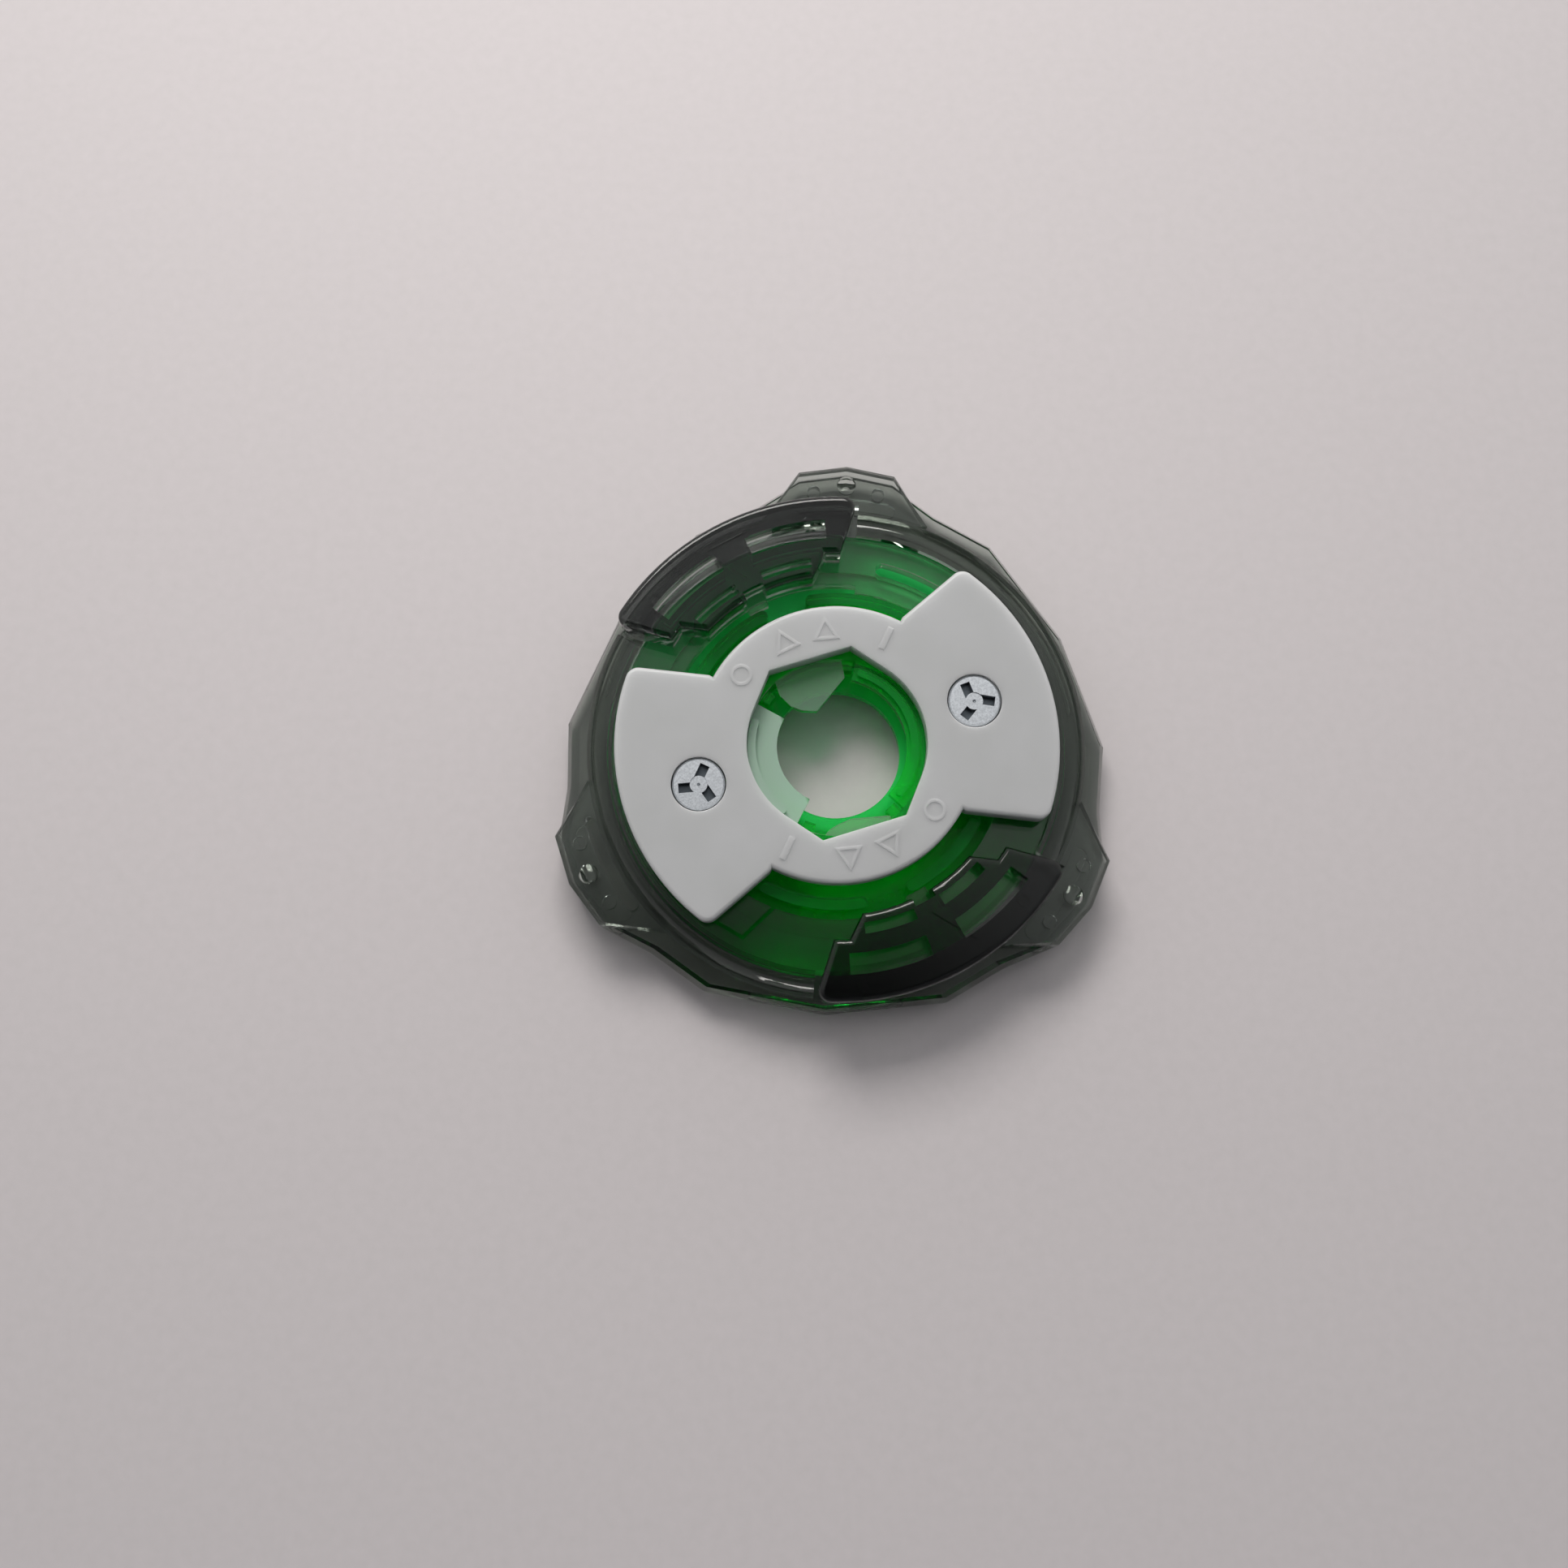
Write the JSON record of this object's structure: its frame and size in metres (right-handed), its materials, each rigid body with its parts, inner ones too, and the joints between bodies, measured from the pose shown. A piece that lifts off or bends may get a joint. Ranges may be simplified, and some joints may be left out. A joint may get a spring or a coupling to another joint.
{
  "type": "spinning top base",
  "caption": "Underside-up base of a take-apart spinning top: a keyed core under a winged cover, inside a three-lobed ring that turns between two drive modes.",
  "frame": {"origin": "on the spin axis, in the plane of the face that the base lies on, which is the mouth of the chip seat", "axes": "+Z along the spin axis towards the mounting side with the cover and screws; +Y towards the lobe under the end of one raised arc"},
  "size_m": [0.0511, 0.0519, 0.0083],
  "materials": {
    "smoke_shell": "smoke-tinted clear polycarbonate, moulded gloss",
    "smoke_frame": "smoke-tinted clear polycarbonate, moulded gloss",
    "smoke_ring": "smoke-tinted clear polycarbonate, moulded gloss",
    "green_core": "green-tinted clear polycarbonate, moulded gloss",
    "milky_cover": "milky translucent acetal, satin",
    "zinc_screw": "bright zinc plate"
  },
  "bodies": {
    "core": {"core_body": "green_core", "under_cover": "milky_cover", "cover_screw_1": "zinc_screw", "cover_screw_2": "zinc_screw"},
    "ring": {"upper_shell": "smoke_shell", "lower_frame": "smoke_frame", "drive_ring": "smoke_ring"}
  },
  "joints": [
    {"name": "mode_turn", "type": "hinge", "parent": "core", "child": "ring", "pos_m": [0, 0, 0.002], "axis": [0, 0, 1], "range_deg": [-22.5, 0]}
  ]
}
